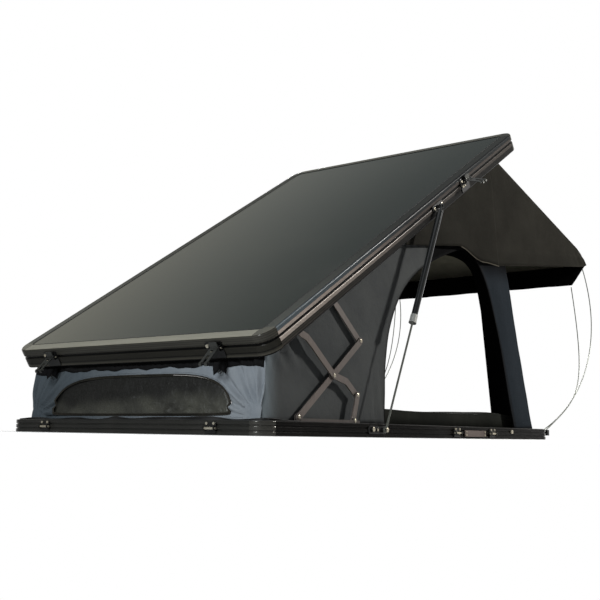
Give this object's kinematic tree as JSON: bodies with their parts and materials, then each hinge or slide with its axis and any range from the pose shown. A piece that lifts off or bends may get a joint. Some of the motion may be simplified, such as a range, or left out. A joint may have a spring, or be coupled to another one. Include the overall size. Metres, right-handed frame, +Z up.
{
  "type": "roof top tent",
  "caption": "Hard-shell roof top tent: wedge-opening lid on crossed hinge arms and gas struts, cloth walls with mesh window and doors, edge latches and a sprung awning hood.",
  "frame": {"origin": "centre of the roof rack bolt pattern, on the underside of the mounting channels", "axes": "+X along the tent from the low end to the high end that opens, +Y to its left side, +Z up"},
  "size_m": [2.8075, 1.489, 1.4429],
  "materials": {
    "black_anodised": "satin black anodised extrusion",
    "lid_paint": "satin black painted sheet",
    "foam_core": "light insulating board",
    "lining": "quilted grey lining",
    "floor_board": "dark coated board",
    "channel_metal": "mill-finish aluminium",
    "mattress_cover": "woven grey cover",
    "seal_rubber": "matt black rubber",
    "bracket_black": "black powder coat",
    "hinge_steel": "warm grey plated steel",
    "rivet_metal": "yellow-passivated heads",
    "plate_metal": "brown-grey plate",
    "lever_metal": "plated sheet steel",
    "strut_chrome": "chromed rod",
    "strut_black": "gloss black cylinder",
    "front_cloth": "blue-grey coated canvas",
    "wall_cloth": "charcoal coated canvas",
    "rear_cloth": "black lined canvas",
    "mesh_cloth": "grey-brown insect mesh",
    "piping": "beige-grey zip piping",
    "hood_cloth": "dark olive coated canvas",
    "spring_wire": "spring steel rod"
  },
  "bodies": {
    "base": {"base_rail_low": "black_anodised", "base_rail_high": "black_anodised", "base_rail_left": "black_anodised", "base_rail_right": "black_anodised", "base_corners": "black_anodised", "floor_panel": "floor_board", "mounting_rails": "channel_metal", "mattress": "mattress_cover", "base_seal": "seal_rubber", "hinge_base_left": "bracket_black", "hinge_base_right": "bracket_black", "strut_feet": "bracket_black", "latch_keepers": "bracket_black", "keeper_pins": "rivet_metal", "ladder_plates": "plate_metal", "base_screws": "rivet_metal", "rod_sockets": "bracket_black", "front_wall": "front_cloth", "left_wall": "wall_cloth", "right_wall": "wall_cloth", "rear_wall": "rear_cloth", "window_mesh": "mesh_cloth", "window_piping": "piping"},
    "lid": {"lid_skin": "lid_paint", "lid_core": "foam_core", "lid_liner": "lining", "lid_rail_low": "black_anodised", "lid_rail_high": "black_anodised", "lid_rail_left": "black_anodised", "lid_rail_right": "black_anodised", "lid_corners": "black_anodised", "hinge_lid_left": "bracket_black", "hinge_lid_right": "bracket_black", "strut_heads": "bracket_black", "latch_brackets": "bracket_black", "latch_pins": "rivet_metal", "skirt_left": "hood_cloth", "skirt_right": "hood_cloth"},
    "awning": {"awning_hood": "hood_cloth", "awning_rods_left": "spring_wire", "awning_rods_right": "spring_wire"},
    "lever_low_left": {"lever_low_left": "lever_metal"},
    "lever_low_right": {"lever_low_right": "lever_metal"},
    "lever_high_left": {"lever_high_left": "lever_metal"},
    "lever_high_right": {"lever_high_right": "lever_metal"},
    "lever_side_left": {"lever_side_left": "lever_metal"},
    "lever_side_right": {"lever_side_right": "lever_metal"},
    "main_arm_left": {"main_arm_left": "hinge_steel"},
    "cross_arm_left": {"cross_arm_left": "hinge_steel"},
    "lower_link_left": {"lower_link_left": "hinge_steel"},
    "upper_link_left": {"upper_link_left": "hinge_steel"},
    "strut_rod_left": {"strut_rod_left": "strut_chrome"},
    "strut_tube_left": {"strut_tube_left": "strut_black"},
    "main_arm_right": {"main_arm_right": "hinge_steel"},
    "cross_arm_right": {"cross_arm_right": "hinge_steel"},
    "lower_link_right": {"lower_link_right": "hinge_steel"},
    "upper_link_right": {"upper_link_right": "hinge_steel"},
    "strut_rod_right": {"strut_rod_right": "strut_chrome"},
    "strut_tube_right": {"strut_tube_right": "strut_black"}
  },
  "joints": [
    {"name": "lid_fold", "type": "hinge", "parent": "base", "child": "lid", "pos_m": [-1.37196, 0, 0.22449], "axis": [0, 1, 0], "range_deg": [0, 32.2], "stiffness_Nm_per_rad": 300, "springref_deg": -137.51, "deforming": ["front_wall", "left_wall", "right_wall", "rear_wall", "window_mesh", "window_piping", "skirt_left", "skirt_right", "awning_hood", "awning_rods_left", "awning_rods_right"]},
    {"name": "main_arm_left_swing", "type": "hinge", "parent": "base", "child": "main_arm_left", "pos_m": [-0.804, 0.5995, 0.064], "axis": [0, 1, 0], "range_deg": [-0.2, 37.7]},
    {"name": "cross_arm_left_swing", "type": "hinge", "parent": "main_arm_left", "child": "cross_arm_left", "pos_m": [-0.61617, 0.6065, 0.2134], "axis": [0, 1, 0], "range_deg": [-69.4, 0.2]},
    {"name": "lower_link_left_swing", "type": "hinge", "parent": "base", "child": "lower_link_left", "pos_m": [-0.50839, 0.6135, 0.058], "axis": [0, 1, 0], "range_deg": [-0.2, 57.14]},
    {"name": "upper_link_left_swing", "type": "hinge", "parent": "main_arm_left", "child": "upper_link_left", "pos_m": [-0.44478, 0.5925, 0.34973], "axis": [0, 1, 0], "range_deg": [-74.9, 0.2]},
    {"name": "strut_rod_left_swing", "type": "hinge", "parent": "base", "child": "strut_rod_left", "pos_m": [-0.385, 0.672, 0.027], "axis": [0, 1, 0], "range_deg": [-0.2, 60.33]},
    {"name": "strut_tube_left_slide", "type": "slide", "parent": "strut_rod_left", "child": "strut_tube_left", "axis": [0.4061, 0, 0.9138], "range_m": [-0.4247, 0.002]},
    {"name": "main_arm_right_swing", "type": "hinge", "parent": "base", "child": "main_arm_right", "pos_m": [-0.804, -0.5995, 0.064], "axis": [0, 1, 0], "range_deg": [-0.2, 37.7]},
    {"name": "cross_arm_right_swing", "type": "hinge", "parent": "main_arm_right", "child": "cross_arm_right", "pos_m": [-0.61617, -0.6065, 0.2134], "axis": [0, 1, 0], "range_deg": [-69.4, 0.2]},
    {"name": "lower_link_right_swing", "type": "hinge", "parent": "base", "child": "lower_link_right", "pos_m": [-0.50839, -0.6135, 0.058], "axis": [0, 1, 0], "range_deg": [-0.2, 57.14]},
    {"name": "upper_link_right_swing", "type": "hinge", "parent": "main_arm_right", "child": "upper_link_right", "pos_m": [-0.44478, -0.5925, 0.34973], "axis": [0, 1, 0], "range_deg": [-74.9, 0.2]},
    {"name": "strut_rod_right_swing", "type": "hinge", "parent": "base", "child": "strut_rod_right", "pos_m": [-0.385, -0.672, 0.027], "axis": [0, 1, 0], "range_deg": [-0.2, 60.33]},
    {"name": "strut_tube_right_slide", "type": "slide", "parent": "strut_rod_right", "child": "strut_tube_right", "axis": [0.4061, 0, 0.9138], "range_m": [-0.4247, 0.002]},
    {"name": "awning_tuck", "type": "hinge", "parent": "lid", "child": "awning", "pos_m": [0.5667, 0, 1.30412], "axis": [0, 1, 0], "range_deg": [-0.2, 131.41]},
    {"name": "lever_low_left_swing", "type": "hinge", "parent": "lid", "child": "lever_low_left", "pos_m": [-1.03889, 0.43, 0.28476], "axis": [0, -1, 0], "range_deg": [-15, 75]},
    {"name": "lever_low_right_swing", "type": "hinge", "parent": "lid", "child": "lever_low_right", "pos_m": [-1.03889, -0.43, 0.28476], "axis": [0, -1, 0], "range_deg": [-15, 75]},
    {"name": "lever_high_left_swing", "type": "hinge", "parent": "lid", "child": "lever_high_left", "pos_m": [0.75166, 0.43, 1.41232], "axis": [0, 1, 0], "range_deg": [-15, 75]},
    {"name": "lever_high_right_swing", "type": "hinge", "parent": "lid", "child": "lever_high_right", "pos_m": [0.75166, -0.43, 1.41232], "axis": [0, 1, 0], "range_deg": [-15, 75]},
    {"name": "lever_side_left_swing", "type": "hinge", "parent": "lid", "child": "lever_side_left", "pos_m": [0.24902, 0.663, 1.09579], "axis": [-0.8462, 0, -0.5329], "range_deg": [-15, 75]},
    {"name": "lever_side_right_swing", "type": "hinge", "parent": "lid", "child": "lever_side_right", "pos_m": [0.24902, -0.663, 1.09579], "axis": [0.8462, 0, 0.5329], "range_deg": [-15, 75]}
  ],
  "couplings": [
    {"joint": "main_arm_left_swing", "follows": "lid_fold", "ratio": 1.1646},
    {"joint": "cross_arm_left_swing", "follows": "lid_fold", "ratio": -2.1492},
    {"joint": "lower_link_left_swing", "follows": "lid_fold", "ratio": 1.7683},
    {"joint": "upper_link_left_swing", "follows": "lid_fold", "ratio": -2.3197},
    {"joint": "strut_rod_left_swing", "follows": "lid_fold", "ratio": 1.8675},
    {"joint": "strut_tube_left_slide", "follows": "lid_fold", "m_per_rad": -0.75215},
    {"joint": "main_arm_right_swing", "follows": "lid_fold", "ratio": 1.1646},
    {"joint": "cross_arm_right_swing", "follows": "lid_fold", "ratio": -2.1492},
    {"joint": "lower_link_right_swing", "follows": "lid_fold", "ratio": 1.7683},
    {"joint": "upper_link_right_swing", "follows": "lid_fold", "ratio": -2.3197},
    {"joint": "strut_rod_right_swing", "follows": "lid_fold", "ratio": 1.8675},
    {"joint": "strut_tube_right_slide", "follows": "lid_fold", "m_per_rad": -0.75215},
    {"joint": "awning_tuck", "follows": "lid_fold", "ratio": 4.0748}
  ]
}
